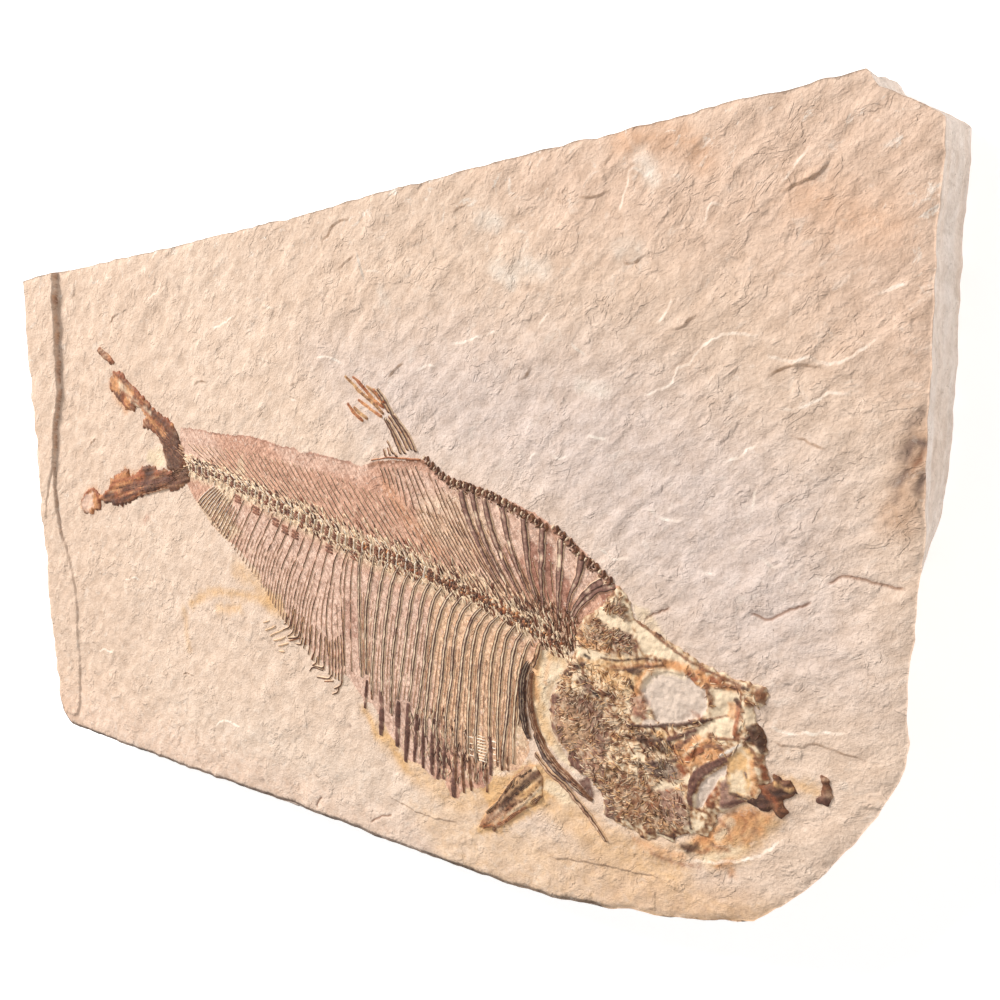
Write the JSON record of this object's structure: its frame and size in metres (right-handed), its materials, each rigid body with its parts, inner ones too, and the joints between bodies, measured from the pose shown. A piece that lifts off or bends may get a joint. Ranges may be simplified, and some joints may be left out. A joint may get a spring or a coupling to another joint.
{
  "type": "fossil fish slab",
  "caption": "Slab of pale layered limestone with a flattened, deep-bodied fossil fish in low relief on its split face, for display.",
  "frame": {"origin": "centre of the bounding box of the slab's flat underside", "axes": "+Z out of the split face with the fish, +X along the slab towards the fish's head, +Y towards the fish's back"},
  "size_m": [0.305, 0.16, 0.0188],
  "materials": {
    "limestone": "matte",
    "fossil_bone": "matte"
  },
  "bodies": {
    "root": {"slab": "limestone", "backbone_and_ribs": "fossil_bone", "skull": "fossil_bone", "jaw_tip": "fossil_bone", "jaw_fragment": "fossil_bone", "shoulder_girdle": "fossil_bone", "pectoral_fin": "fossil_bone", "rear_back_plates": "fossil_bone", "front_back_plates": "fossil_bone", "dorsal_fin": "fossil_bone", "anal_fin": "fossil_bone", "tail_fin": "fossil_bone", "tail_tip": "fossil_bone"}
  },
  "joints": []
}
